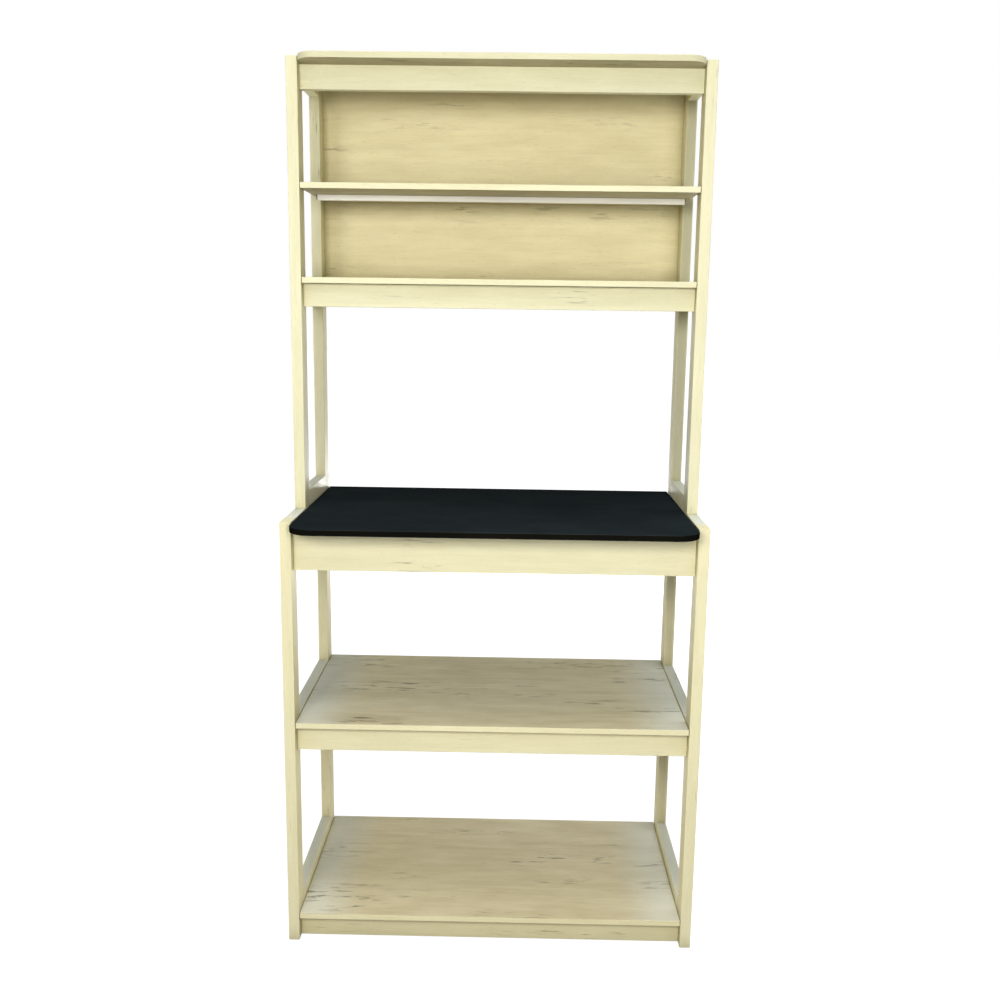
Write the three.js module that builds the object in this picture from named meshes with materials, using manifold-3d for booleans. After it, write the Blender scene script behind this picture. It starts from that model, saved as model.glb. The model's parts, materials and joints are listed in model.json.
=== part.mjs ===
// A bakers rack: a deep base with a black worktop, and a shallower hutch that stands on it.
// Millimetres. X runs from left to right, Y from front to back and Z up from the floor.
// The origin lies on the floor, under the middle of the rack's whole width and depth.

import * as THREE from "three";
import { mergeVertices } from "three/addons/utils/BufferGeometryUtils.js";
import Module from "manifold-3d";

const wasm = await Module();
wasm.setup();

// Overall sizes
const RACK_WIDTH = 844;
const RACK_HEIGHT = 1800;
const FRAME_DEPTH = 435;
const HUTCH_SETBACK = 152;
const WORKTOP_HEIGHT = 901;

// Heights of the base's boards above the floor, and drops of the hutch's boards below its top
const BOTTOM_SHELF_TOP = 64;
const MIDDLE_SHELF_TOP = 486;
const LOWER_SHELF_DROP = 423;
const UPPER_SHELF_DROP = 238;

// Posts and side rails, all of one thickness
const POST_WIDTH = 22.5;
const POST_DEPTH = 48;
const EDGE_EASE = 0.8;
const BASE_TOP_RAIL_HEIGHT = 70;
const MIDDLE_RAIL_STEP = 3;
const BOTTOM_RAIL_STEP = 22;
const HUTCH_RAIL_HEIGHT = 33;

// Boards
const BOARD_THICKNESS = 12;
const SHELF_SIDE_GAP = 1;
const WORKTOP_SIDE_GAP = 2.5;
const WORKTOP_OVERHANG = 66;
const WORKTOP_CORNER_RADIUS = 46;
const TOP_OVERHANG = 38;
const TOP_CORNER_RADIUS = 36;
const CORNER_STEPS = 10;

// Aprons and rails that run from side to side
const APRON_THICKNESS = 18;
const APRON_RECESS = 22;
const WORKTOP_APRON_HEIGHT = 89;
const MIDDLE_APRON_HEIGHT = 54;
const HUTCH_APRON_HEIGHT = 47;

// Back panel, lapped onto the back posts
const PANEL_THICKNESS = 3;
const PANEL_SIDE_LAP = 12;
const PANEL_BOTTOM_LAP = 20;
const PANEL_TOP_MARGIN = 2;

// Glides under the base posts
const GLIDE_THICKNESS = 3;
const GLIDE_RADIUS = 9;
const GLIDE_NAIL_RADIUS = 1.2;
const GLIDE_NAIL_LENGTH = 14;

// Clearance round fitted pieces, and how far a cutting tool runs past a face
const FIT = 0.3;
const CUT_OVERRUN = 1;

// Stub tenons on the ends of the rails and aprons, glued into mortises in the posts
const TENON_THICKNESS = 8;
const TENON_SHOULDER = 7;
const RAIL_TENON_LENGTH = 9;
const APRON_TENON_LENGTH = 11;

// Short screws of the back panel and the support bar
const SCREW_LENGTH = 11;
const SCREW_RADIUS = 1.7;
const SCREW_HEAD_RADIUS = 3.4;
const SCREW_HEAD_HEIGHT = 2;
const SCREW_TIP = 3;
const ROUND_SIDES = 16;

// Long screws through the hutch posts into the upper shelf
const POST_SCREW_LENGTH = 50;
const POST_SCREW_RADIUS = 2;
const POST_SCREW_HEAD_RADIUS = 4;
const POST_SCREW_HEAD_HEIGHT = 3;

// Back panel screws
const PANEL_SCREW_HEAD_HEIGHT = 1;

// Bolts up through the base side rails that clamp the hutch sill rails down
const BOLT_RADIUS = 3;
const BOLT_HEAD_RADIUS = 5;
const BOLT_HEAD_HEIGHT = 5;
const BOLT_COUNTERBORE_DEPTH = 30;
const BOLT_REACH = 22;

// Pegs in the top side rails that carry the back of the top panel
const PEG_RADIUS = 3;
const PEG_IN_RAIL = 12;
const PEG_OUT = 10;

// Support bar under the upper shelf: a square tube with end plugs
const BAR_SIZE = 12;
const BAR_WALL = 1.2;
const BAR_END_GAP = 13;
const BAR_SETBACK = 115;
const PLUG_FLANGE = 1.5;
const PLUG_TONGUE = 12;

// Where things lie along a length, as shares of it
const PEG_SHARE = 0.9;
const HUTCH_BOLTS = [
  { end: "front", share: 0.25 },
  { end: "back", share: 0.75 },
];
const BAR_SCREWS = [
  { end: "left", share: 0.2 },
  { end: "right", share: 0.8 },
];
const PANEL_SCREWS = [
  { end: "bottom", share: 0.06 },
  { end: "top", share: 0.94 },
];

// Planes worked out from the sizes above
const REAR_HARDWARE = FIT + PANEL_SCREW_HEAD_HEIGHT;
const TOTAL_DEPTH = WORKTOP_OVERHANG + FRAME_DEPTH + PANEL_THICKNESS + REAR_HARDWARE;
const BASE_FRONT = WORKTOP_OVERHANG - TOTAL_DEPTH / 2;
const FRAME_BACK = BASE_FRONT + FRAME_DEPTH;
const HUTCH_FRONT = BASE_FRONT + HUTCH_SETBACK;
const HUTCH_LOWER_SHELF_TOP = RACK_HEIGHT - LOWER_SHELF_DROP;
const HUTCH_UPPER_SHELF_TOP = RACK_HEIGHT - UPPER_SHELF_DROP;
const OUTER_X = RACK_WIDTH / 2;
const INNER_X = OUTER_X - POST_WIDTH;
const POST_X = OUTER_X - POST_WIDTH / 2;

const SIDES = [
  { name: "left", sign: -1 },
  { name: "right", sign: 1 },
];

// Materials

function paint(color, roughness, metalness) {
  return new THREE.MeshStandardMaterial({ color, roughness, metalness });
}

const MATERIALS = {
  wood: () => paint(0xe9e0b8, 0.55, 0),
  shelf: () => paint(0xd6caa6, 0.5, 0),
  worktop: () => paint(0x16191b, 0.4, 0),
  bar: () => paint(0xe6e2da, 0.35, 0.6),
  plastic: () => paint(0x2b2a27, 0.6, 0),
  zinc: () => paint(0xa9aaa8, 0.35, 1),
};

// Geometry helpers

const WELD_TOLERANCE = 1e-4;
const QUARTER_TURN = Math.PI / 2;

function toSolid(geometry) {
  const bare = geometry.clone();
  bare.deleteAttribute("normal");
  bare.deleteAttribute("uv");
  const welded = mergeVertices(bare, WELD_TOLERANCE);
  return new wasm.Manifold(
    new wasm.Mesh({
      numProp: 3,
      vertProperties: welded.attributes.position.array,
      triVerts: new Uint32Array(welded.index.array),
    }),
  );
}

function toGeometry(solid) {
  const mesh = solid.getMesh();
  const geometry = new THREE.BufferGeometry();
  geometry.setAttribute("position", new THREE.BufferAttribute(mesh.vertProperties, 3));
  geometry.setIndex(new THREE.BufferAttribute(mesh.triVerts, 1));
  const facets = geometry.toNonIndexed();
  facets.computeVertexNormals();
  return facets;
}

function cut(geometry, tools) {
  let solid = toSolid(geometry);
  for (const tool of tools) {
    solid = solid.subtract(toSolid(tool));
  }
  return toGeometry(solid);
}

function join(geometry, extras) {
  let solid = toSolid(geometry);
  for (const extra of extras) {
    solid = solid.add(toSolid(extra));
  }
  return toGeometry(solid);
}

// A turned solid about +Z from points of radius and height, both of its ends on the axis.
function turned(points) {
  const profile = points.map(([radius, height]) => new THREE.Vector2(radius, height));
  return new THREE.LatheGeometry(profile, ROUND_SIDES).rotateX(QUARTER_TURN);
}

function rod(radius, from, to) {
  return turned([[0, from], [radius, from], [radius, to], [0, to]]);
}

const UP = new THREE.Vector3(0, 0, 1);
const FORWARD = new THREE.Vector3(0, -1, 0);

// Moves a solid made about +Z to a point, with its +Z turned to a direction.
function aimed(geometry, point, direction) {
  const turn = new THREE.Quaternion().setFromUnitVectors(UP, direction);
  return geometry.clone().applyQuaternion(turn).translate(point.x, point.y, point.z);
}

const middle = ([low, high]) => (low + high) / 2;
const length = ([low, high]) => high - low;
const along = ([low, high], share) => low + (high - low) * share;

// A box from its range on each axis
function block(x, y, z) {
  const box = new THREE.BoxGeometry(length(x), length(y), length(z));
  return box.translate(middle(x), middle(y), middle(z));
}

// A rectangle with eased corners, centred on the origin
function easedRectangle(width, height) {
  const x = width / 2;
  const y = height / 2;
  const ease = EDGE_EASE;
  const shape = new THREE.Shape();
  shape.moveTo(ease - x, -y);
  shape.lineTo(x - ease, -y);
  shape.lineTo(x, ease - y);
  shape.lineTo(x, y - ease);
  shape.lineTo(x - ease, y);
  shape.lineTo(ease - x, y);
  shape.lineTo(-x, y - ease);
  shape.lineTo(-x, ease - y);
  return shape;
}

function extruded(shape, depth) {
  const settings = { depth, bevelEnabled: false, curveSegments: CORNER_STEPS };
  return new THREE.ExtrudeGeometry(shape, settings).translate(0, 0, -depth / 2);
}

// The scene graph

const rack = new THREE.Group();
rack.name = "bakers_rack";

function addMesh(name, material, geometry, place = new THREE.Vector3()) {
  const mesh = new THREE.Mesh(geometry, MATERIALS[material]());
  mesh.name = name;
  mesh.position.copy(place);
  rack.add(mesh);
}

// Adds a piece made about its own centre from its range on each axis.
// Every tool that reaches the piece is cut out of it.
function addPiece(name, material, { x, y, z }, makeForm, tools) {
  const centre = new THREE.Vector3(middle(x), middle(y), middle(z));
  const low = new THREE.Vector3(x[0], y[0], z[0]);
  const high = new THREE.Vector3(x[1], y[1], z[1]);
  const reach = new THREE.Box3(low, high);
  const cutters = [];
  for (const tool of tools) {
    tool.computeBoundingBox();
    if (tool.boundingBox.intersectsBox(reach)) {
      cutters.push(tool.clone().translate(-centre.x, -centre.y, -centre.z));
    }
  }
  addMesh(name, material, cut(makeForm(length(x), length(y), length(z)), cutters), centre);
}

// Layout of the posts, rails and aprons

const UNDER_BOTTOM = BOTTOM_SHELF_TOP - BOARD_THICKNESS;
const UNDER_MIDDLE = MIDDLE_SHELF_TOP - BOARD_THICKNESS;
const UNDER_WORKTOP = WORKTOP_HEIGHT - BOARD_THICKNESS;
const UNDER_LOWER = HUTCH_LOWER_SHELF_TOP - BOARD_THICKNESS;
const UNDER_UPPER = HUTCH_UPPER_SHELF_TOP - BOARD_THICKNESS;
const UNDER_TOP = RACK_HEIGHT - BOARD_THICKNESS;
const MIDDLE_APRON_BOTTOM = UNDER_MIDDLE - MIDDLE_APRON_HEIGHT;
const WORKTOP_APRON_BOTTOM = UNDER_WORKTOP - WORKTOP_APRON_HEIGHT;
const HUTCH_APRON_BOTTOM = UNDER_LOWER - HUTCH_APRON_HEIGHT;
const TOP_APRON_BOTTOM = UNDER_TOP - HUTCH_APRON_HEIGHT;

const BASE_Z = [GLIDE_THICKNESS, WORKTOP_HEIGHT];
const HUTCH_Z = [WORKTOP_HEIGHT, RACK_HEIGHT];
const BASE_FRONT_POST_Y = [BASE_FRONT, BASE_FRONT + POST_DEPTH];
const HUTCH_FRONT_POST_Y = [HUTCH_FRONT, HUTCH_FRONT + POST_DEPTH];
const BACK_POST_Y = [FRAME_BACK - POST_DEPTH, FRAME_BACK];
const BASE_RAIL_Y = [BASE_FRONT_POST_Y[1], BACK_POST_Y[0]];
const HUTCH_RAIL_Y = [HUTCH_FRONT_POST_Y[1], BACK_POST_Y[0]];
const CLEAR_X = [-INNER_X, INNER_X];

const POSTS = [
  { name: "base_post_front", y: BASE_FRONT_POST_Y, z: BASE_Z },
  { name: "base_post_back", y: BACK_POST_Y, z: BASE_Z },
  { name: "hutch_post_front", y: HUTCH_FRONT_POST_Y, z: HUTCH_Z },
  { name: "hutch_post_back", y: BACK_POST_Y, z: HUTCH_Z },
];

const SIDE_RAILS = [
  {
    name: "base_bottom_side_rail",
    y: BASE_RAIL_Y,
    z: [GLIDE_THICKNESS, BOTTOM_SHELF_TOP + BOTTOM_RAIL_STEP],
  },
  {
    name: "base_middle_side_rail",
    y: BASE_RAIL_Y,
    z: [MIDDLE_APRON_BOTTOM, MIDDLE_SHELF_TOP + MIDDLE_RAIL_STEP],
  },
  {
    name: "base_top_side_rail",
    y: BASE_RAIL_Y,
    z: [WORKTOP_HEIGHT - BASE_TOP_RAIL_HEIGHT, WORKTOP_HEIGHT],
  },
  {
    name: "hutch_sill_rail",
    y: HUTCH_RAIL_Y,
    z: [WORKTOP_HEIGHT, WORKTOP_HEIGHT + HUTCH_RAIL_HEIGHT],
  },
  {
    name: "hutch_shelf_side_rail",
    y: HUTCH_RAIL_Y,
    z: [HUTCH_APRON_BOTTOM, HUTCH_LOWER_SHELF_TOP],
  },
  {
    name: "hutch_top_side_rail",
    y: HUTCH_RAIL_Y,
    z: [RACK_HEIGHT - HUTCH_RAIL_HEIGHT, RACK_HEIGHT],
  },
];

const apronY = (front) => [front + APRON_RECESS, front + APRON_RECESS + APRON_THICKNESS];
const BASE_APRON_Y = apronY(BASE_FRONT);
const HUTCH_APRON_Y = apronY(HUTCH_FRONT);
const BACK_RAIL_Y = [FRAME_BACK - APRON_THICKNESS, FRAME_BACK];
const BOTTOM_APRON_Z = [GLIDE_THICKNESS, UNDER_BOTTOM];
const MIDDLE_APRON_Z = [MIDDLE_APRON_BOTTOM, UNDER_MIDDLE];
const WORKTOP_APRON_Z = [WORKTOP_APRON_BOTTOM, UNDER_WORKTOP];
const HUTCH_APRON_Z = [HUTCH_APRON_BOTTOM, UNDER_LOWER];
const TOP_APRON_Z = [TOP_APRON_BOTTOM, UNDER_TOP];

const APRONS = [
  { name: "bottom_shelf_front_rail", y: BASE_APRON_Y, z: BOTTOM_APRON_Z },
  { name: "bottom_shelf_back_rail", y: BACK_RAIL_Y, z: BOTTOM_APRON_Z },
  { name: "middle_shelf_front_rail", y: BASE_APRON_Y, z: MIDDLE_APRON_Z },
  { name: "middle_shelf_back_rail", y: BACK_RAIL_Y, z: MIDDLE_APRON_Z },
  { name: "worktop_front_apron", y: BASE_APRON_Y, z: WORKTOP_APRON_Z },
  { name: "worktop_back_rail", y: BACK_RAIL_Y, z: WORKTOP_APRON_Z },
  { name: "hutch_shelf_front_apron", y: HUTCH_APRON_Y, z: HUTCH_APRON_Z },
  { name: "hutch_shelf_back_rail", y: BACK_RAIL_Y, z: HUTCH_APRON_Z },
  { name: "top_front_apron", y: HUTCH_APRON_Y, z: TOP_APRON_Z },
];

const PANEL_X = [-INNER_X - PANEL_SIDE_LAP, INNER_X + PANEL_SIDE_LAP];
const PANEL_Y = [FRAME_BACK, FRAME_BACK + PANEL_THICKNESS];
const PANEL_Z = [UNDER_LOWER - PANEL_BOTTOM_LAP, RACK_HEIGHT - PANEL_TOP_MARGIN];

const BAR_X = [BAR_END_GAP - INNER_X, INNER_X - BAR_END_GAP];
const BAR_Y = [HUTCH_FRONT + BAR_SETBACK, HUTCH_FRONT + BAR_SETBACK + BAR_SIZE];
const BAR_Z = [UNDER_UPPER - BAR_SIZE, UNDER_UPPER];

// Hardware. Each hole that a screw, bolt, peg or nail needs is kept for the wood it passes through.

const holes = [];

// Short screw: its head's underside lies at the origin and its shank runs along +Z.
function shortScrew(headHeight) {
  return turned([
    [0, -headHeight],
    [SCREW_HEAD_RADIUS, -headHeight],
    [SCREW_HEAD_RADIUS, 0],
    [SCREW_RADIUS, 0],
    [SCREW_RADIUS, SCREW_LENGTH - SCREW_TIP],
    [0, SCREW_LENGTH],
  ]);
}

const SHORT_SCREW_HOLE = rod(SCREW_RADIUS + FIT, -FIT, SCREW_LENGTH + FIT);

// Countersunk screws through the hutch posts into the ends of the upper shelf
function addUpperShelfScrews() {
  const neck = FIT + POST_SCREW_HEAD_HEIGHT;
  const screw = turned([
    [0, FIT],
    [POST_SCREW_HEAD_RADIUS, FIT],
    [POST_SCREW_RADIUS, neck],
    [POST_SCREW_RADIUS, POST_SCREW_LENGTH - SCREW_TIP],
    [0, POST_SCREW_LENGTH],
  ]);
  const hole = turned([
    [0, -CUT_OVERRUN],
    [POST_SCREW_HEAD_RADIUS + FIT, -CUT_OVERRUN],
    [POST_SCREW_HEAD_RADIUS + FIT, FIT],
    [POST_SCREW_RADIUS + FIT, neck + FIT],
    [POST_SCREW_RADIUS + FIT, POST_SCREW_LENGTH + FIT],
    [0, POST_SCREW_LENGTH + FIT],
  ]);
  const places = [
    { end: "front", y: middle(HUTCH_FRONT_POST_Y) },
    { end: "back", y: middle(BACK_POST_Y) },
  ];
  for (const { name, sign } of SIDES) {
    const inward = new THREE.Vector3(-sign, 0, 0);
    for (const { end, y } of places) {
      const point = new THREE.Vector3(sign * OUTER_X, y, HUTCH_UPPER_SHELF_TOP - BOARD_THICKNESS / 2);
      addMesh(`upper_shelf_screw_${end}_${name}`, "zinc", aimed(screw, point, inward));
      holes.push(aimed(hole, point, inward));
    }
  }
}

// Bolts up through the base top side rails into the hutch sill rails, heads in counterbores
function addHutchBolts() {
  const headZ = WORKTOP_HEIGHT - BASE_TOP_RAIL_HEIGHT + BOLT_COUNTERBORE_DEPTH;
  const tip = WORKTOP_HEIGHT + BOLT_REACH - headZ;
  const bolt = turned([
    [0, -FIT - BOLT_HEAD_HEIGHT],
    [BOLT_HEAD_RADIUS, -FIT - BOLT_HEAD_HEIGHT],
    [BOLT_HEAD_RADIUS, -FIT],
    [BOLT_RADIUS, -FIT],
    [BOLT_RADIUS, tip],
    [0, tip],
  ]);
  const counterbore = BOLT_HEAD_RADIUS + 2 * FIT;
  const mouth = -BOLT_COUNTERBORE_DEPTH - CUT_OVERRUN;
  const hole = turned([
    [0, mouth],
    [counterbore, mouth],
    [counterbore, 0],
    [BOLT_RADIUS + FIT, 0],
    [BOLT_RADIUS + FIT, tip + FIT],
    [0, tip + FIT],
  ]);
  for (const { name, sign } of SIDES) {
    for (const { end, share } of HUTCH_BOLTS) {
      const point = new THREE.Vector3(sign * POST_X, along(HUTCH_RAIL_Y, share), headZ);
      addMesh(`hutch_bolt_${end}_${name}`, "zinc", aimed(bolt, point, UP));
      holes.push(aimed(hole, point, UP));
    }
  }
}

// Pegs in the top side rails, under the back of the top panel
function addTopPanelPegs() {
  const peg = rod(PEG_RADIUS, -PEG_OUT, PEG_IN_RAIL);
  const hole = rod(PEG_RADIUS + FIT, -CUT_OVERRUN, PEG_IN_RAIL + FIT);
  const z = UNDER_TOP - FIT - PEG_RADIUS;
  for (const { name, sign } of SIDES) {
    const outward = new THREE.Vector3(sign, 0, 0);
    const point = new THREE.Vector3(sign * INNER_X, along(HUTCH_RAIL_Y, PEG_SHARE), z);
    addMesh(`top_panel_peg_${name}`, "zinc", aimed(peg, point, outward));
    holes.push(aimed(hole, point, outward));
  }
}

// Screws at the corners of the back panel, into the hutch's back posts
function addPanelScrews() {
  const screw = shortScrew(PANEL_SCREW_HEAD_HEIGHT);
  for (const { name, sign } of SIDES) {
    for (const { end, share } of PANEL_SCREWS) {
      const x = sign * (INNER_X + PANEL_SIDE_LAP / 2);
      const point = new THREE.Vector3(x, PANEL_Y[1] + FIT, along(PANEL_Z, share));
      addMesh(`back_panel_screw_${end}_${name}`, "zinc", aimed(screw, point, FORWARD));
      holes.push(aimed(SHORT_SCREW_HOLE, point, FORWARD));
    }
  }
}

// Support bar: an open square tube under the upper shelf, held by screws inside it
function addSupportBar() {
  const tubeX = [BAR_X[0] + PLUG_FLANGE, BAR_X[1] - PLUG_FLANGE];
  const centre = new THREE.Vector3(middle(BAR_X), middle(BAR_Y), middle(BAR_Z));
  const hollow = BAR_SIZE - 2 * BAR_WALL;
  const cutters = [new THREE.BoxGeometry(length(tubeX) + CUT_OVERRUN, hollow, hollow)];
  const screw = shortScrew(SCREW_HEAD_HEIGHT);
  const access = rod(SCREW_HEAD_RADIUS + 2 * FIT, -BAR_SIZE / 2 - CUT_OVERRUN, 0);
  for (const { end, share } of BAR_SCREWS) {
    const x = along(BAR_X, share);
    const point = new THREE.Vector3(x, centre.y, UNDER_UPPER - BAR_WALL - FIT);
    const local = point.clone().sub(centre);
    addMesh(`support_bar_screw_${end}`, "zinc", aimed(screw, point, UP));
    holes.push(aimed(SHORT_SCREW_HOLE, point, UP));
    cutters.push(aimed(SHORT_SCREW_HOLE, local, UP));
    cutters.push(access.clone().translate(local.x, 0, 0));
  }
  const blank = new THREE.BoxGeometry(length(tubeX), BAR_SIZE, BAR_SIZE);
  addMesh("support_bar", "bar", cut(blank, cutters), centre);
  for (const { name, sign } of SIDES) {
    addMesh(`support_bar_plug_${name}`, "plastic", plug(sign, hollow - 2 * FIT), centre);
  }
}

// An end plug: a flange that closes the tube, and a tongue inside it
function plug(sign, tongueSize) {
  const end = length(BAR_X) / 2;
  const shoulder = end - PLUG_FLANGE;
  const flange = new THREE.BoxGeometry(PLUG_FLANGE, BAR_SIZE, BAR_SIZE);
  flange.translate(sign * (shoulder + PLUG_FLANGE / 2), 0, 0);
  const tongueLength = PLUG_FLANGE / 2 + PLUG_TONGUE;
  const tongue = new THREE.BoxGeometry(tongueLength, tongueSize, tongueSize);
  tongue.translate(sign * (end - PLUG_FLANGE / 2 - tongueLength / 2), 0, 0);
  return join(flange, [tongue]);
}

// Glides under the base posts, each with a nail up into the post
function addGlides() {
  const tip = GLIDE_THICKNESS + GLIDE_NAIL_LENGTH;
  const glide = turned([
    [0, 0],
    [GLIDE_RADIUS, 0],
    [GLIDE_RADIUS, GLIDE_THICKNESS],
    [GLIDE_NAIL_RADIUS, GLIDE_THICKNESS],
    [GLIDE_NAIL_RADIUS, tip],
    [0, tip],
  ]);
  const hole = rod(GLIDE_NAIL_RADIUS + FIT, 0, tip + FIT);
  const places = [
    { end: "front", y: middle(BASE_FRONT_POST_Y) },
    { end: "back", y: middle(BACK_POST_Y) },
  ];
  for (const { name, sign } of SIDES) {
    for (const { end, y } of places) {
      const point = new THREE.Vector3(sign * POST_X, y, 0);
      addMesh(`foot_glide_${end}_${name}`, "plastic", aimed(glide, point, UP));
      holes.push(aimed(hole, point, UP));
    }
  }
}

// Wood. A rail's tenon is a block past each of its ends, and its mortise is that block with room.

function sideRailTenons(x, { y, z }, room) {
  const width = TENON_THICKNESS / 2 + room;
  const tenonX = [middle(x) - width, middle(x) + width];
  const tenonZ = [z[0] + TENON_SHOULDER - room, z[1] - TENON_SHOULDER + room];
  const reach = RAIL_TENON_LENGTH + room;
  return [
    block(tenonX, [y[0] - reach, y[0] + CUT_OVERRUN], tenonZ),
    block(tenonX, [y[1] - CUT_OVERRUN, y[1] + reach], tenonZ),
  ];
}

function apronTenons({ y, z }, room) {
  const width = TENON_THICKNESS / 2 + room;
  const tenonY = [middle(y) - width, middle(y) + width];
  const tenonZ = [z[0] + TENON_SHOULDER - room, z[1] - TENON_SHOULDER + room];
  const reach = APRON_TENON_LENGTH + room;
  return SIDES.map(({ sign }) => {
    const ends = [sign * (INNER_X - CUT_OVERRUN), sign * (INNER_X + reach)];
    return block([Math.min(...ends), Math.max(...ends)], tenonY, tenonZ);
  });
}

const sideX = (sign) => (sign > 0 ? [INNER_X, OUTER_X] : [-OUTER_X, -INNER_X]);

function addPosts() {
  const form = (x, y, z) => extruded(easedRectangle(x, y), z);
  for (const { name, sign } of SIDES) {
    const x = sideX(sign);
    const mortises = [
      ...SIDE_RAILS.flatMap((rail) => sideRailTenons(x, rail, FIT)),
      ...APRONS.flatMap((apron) => apronTenons(apron, FIT)),
    ];
    for (const post of POSTS) {
      const reach = { x, y: post.y, z: post.z };
      addPiece(`${post.name}_${name}`, "wood", reach, form, [...holes, ...mortises]);
    }
  }
}

function addSideRails() {
  for (const { name, sign } of SIDES) {
    const x = sideX(sign);
    for (const rail of SIDE_RAILS) {
      const form = (width, depth, height) => {
        const body = extruded(easedRectangle(width, height), depth).rotateX(QUARTER_TURN);
        return join(body, centred(sideRailTenons(x, rail, 0), x, rail.y, rail.z));
      };
      addPiece(`${rail.name}_${name}`, "wood", { x, y: rail.y, z: rail.z }, form, holes);
    }
  }
}

function addAprons() {
  for (const apron of APRONS) {
    const form = (width, depth, height) => {
      const body = extruded(easedRectangle(height, depth), width).rotateY(QUARTER_TURN);
      return join(body, centred(apronTenons(apron, 0), CLEAR_X, apron.y, apron.z));
    };
    addPiece(apron.name, "wood", { x: CLEAR_X, y: apron.y, z: apron.z }, form, holes);
  }
}

function centred(geometries, x, y, z) {
  return geometries.map((geometry) => geometry.translate(-middle(x), -middle(y), -middle(z)));
}

// A board whose two front corners are round
function roundedBoard(radius) {
  return (width, depth, thickness) => {
    const x = width / 2;
    const y = depth / 2;
    const shape = new THREE.Shape();
    shape.moveTo(-x, y);
    shape.lineTo(-x, radius - y);
    shape.absarc(radius - x, radius - y, radius, Math.PI, Math.PI + QUARTER_TURN, false);
    shape.lineTo(x - radius, -y);
    shape.absarc(x - radius, radius - y, radius, -QUARTER_TURN, 0, false);
    shape.lineTo(x, y);
    return extruded(shape, thickness);
  };
}

const plainBoard = (x, y, z) => new THREE.BoxGeometry(x, y, z);
const boardX = (gap) => [gap - INNER_X, INNER_X - gap];
const boardZ = (under) => [under, under + BOARD_THICKNESS];

function addBoards() {
  const shelves = [
    { name: "bottom_shelf", front: BASE_FRONT, under: UNDER_BOTTOM },
    { name: "middle_shelf", front: BASE_FRONT, under: UNDER_MIDDLE },
    { name: "hutch_lower_shelf", front: HUTCH_FRONT, under: UNDER_LOWER },
    { name: "hutch_upper_shelf", front: HUTCH_FRONT, under: UNDER_UPPER },
  ];
  for (const { name, front, under } of shelves) {
    const reach = { x: boardX(SHELF_SIDE_GAP), y: [front, FRAME_BACK], z: boardZ(under) };
    addPiece(name, "shelf", reach, plainBoard, holes);
  }
  const topX = boardX(WORKTOP_SIDE_GAP);
  const worktop = { x: topX, y: [BASE_FRONT - WORKTOP_OVERHANG, FRAME_BACK], z: boardZ(UNDER_WORKTOP) };
  addPiece("worktop", "worktop", worktop, roundedBoard(WORKTOP_CORNER_RADIUS), holes);
  const topPanel = { x: topX, y: [HUTCH_FRONT - TOP_OVERHANG, FRAME_BACK], z: boardZ(UNDER_TOP) };
  addPiece("top_panel", "shelf", topPanel, roundedBoard(TOP_CORNER_RADIUS), holes);
  addPiece("back_panel", "wood", { x: PANEL_X, y: PANEL_Y, z: PANEL_Z }, plainBoard, holes);
}

addUpperShelfScrews();
addHutchBolts();
addTopPanelPegs();
addPanelScrews();
addSupportBar();
addGlides();
addPosts();
addSideRails();
addAprons();
addBoards();

export default rack;
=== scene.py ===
import json
import math
import random
from typing import NamedTuple

import bmesh
import bpy
from mathutils import Matrix, Vector


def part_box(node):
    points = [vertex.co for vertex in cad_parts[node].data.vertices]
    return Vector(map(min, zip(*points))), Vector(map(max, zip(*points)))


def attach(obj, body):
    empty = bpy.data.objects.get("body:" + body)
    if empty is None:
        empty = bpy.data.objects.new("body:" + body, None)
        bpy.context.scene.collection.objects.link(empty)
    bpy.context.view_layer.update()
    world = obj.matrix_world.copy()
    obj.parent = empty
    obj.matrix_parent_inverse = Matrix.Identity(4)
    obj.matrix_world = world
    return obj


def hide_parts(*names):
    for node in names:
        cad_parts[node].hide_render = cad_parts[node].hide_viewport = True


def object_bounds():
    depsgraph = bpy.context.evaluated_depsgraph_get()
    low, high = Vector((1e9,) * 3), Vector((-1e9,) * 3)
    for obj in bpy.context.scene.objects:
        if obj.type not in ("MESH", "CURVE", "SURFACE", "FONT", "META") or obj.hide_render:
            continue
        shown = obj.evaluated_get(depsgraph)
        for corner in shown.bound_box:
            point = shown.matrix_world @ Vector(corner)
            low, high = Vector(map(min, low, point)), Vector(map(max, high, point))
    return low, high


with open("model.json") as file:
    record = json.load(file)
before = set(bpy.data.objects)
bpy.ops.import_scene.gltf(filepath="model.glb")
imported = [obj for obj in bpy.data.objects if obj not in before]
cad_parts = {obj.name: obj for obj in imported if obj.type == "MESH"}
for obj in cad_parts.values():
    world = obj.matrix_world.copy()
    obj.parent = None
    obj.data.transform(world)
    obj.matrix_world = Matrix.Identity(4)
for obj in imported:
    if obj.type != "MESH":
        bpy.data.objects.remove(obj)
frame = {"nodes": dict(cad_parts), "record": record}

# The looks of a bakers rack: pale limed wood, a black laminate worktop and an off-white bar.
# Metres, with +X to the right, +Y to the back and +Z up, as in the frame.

cad_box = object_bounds()
NODES = frame["nodes"]
SLOTS = {part["node"]: part["material_slot"] for part in frame["record"]["subparts"]}
RACK_HEIGHT = cad_box[1][2]
RACK_HALF_WIDTH = cad_box[1][0]
X, Y, Z = range(3)
UP = Vector((0, 0, 1))
MM = 0.001
QUARTER_TURN = math.radians(90)


# Camera, as fitted to the photograph

IMAGE_WIDTH = 1000
FOCAL_PIXELS = 1053.0
SENSOR_WIDTH = 36.0
CAMERA_PLACE = (0.0359, -2.2017, 1.3168)
CAMERA_YAW = math.radians(0.723)
CAMERA_PITCH = math.radians(-10.244)
CAMERA_ROLL = math.radians(-0.772)


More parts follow.
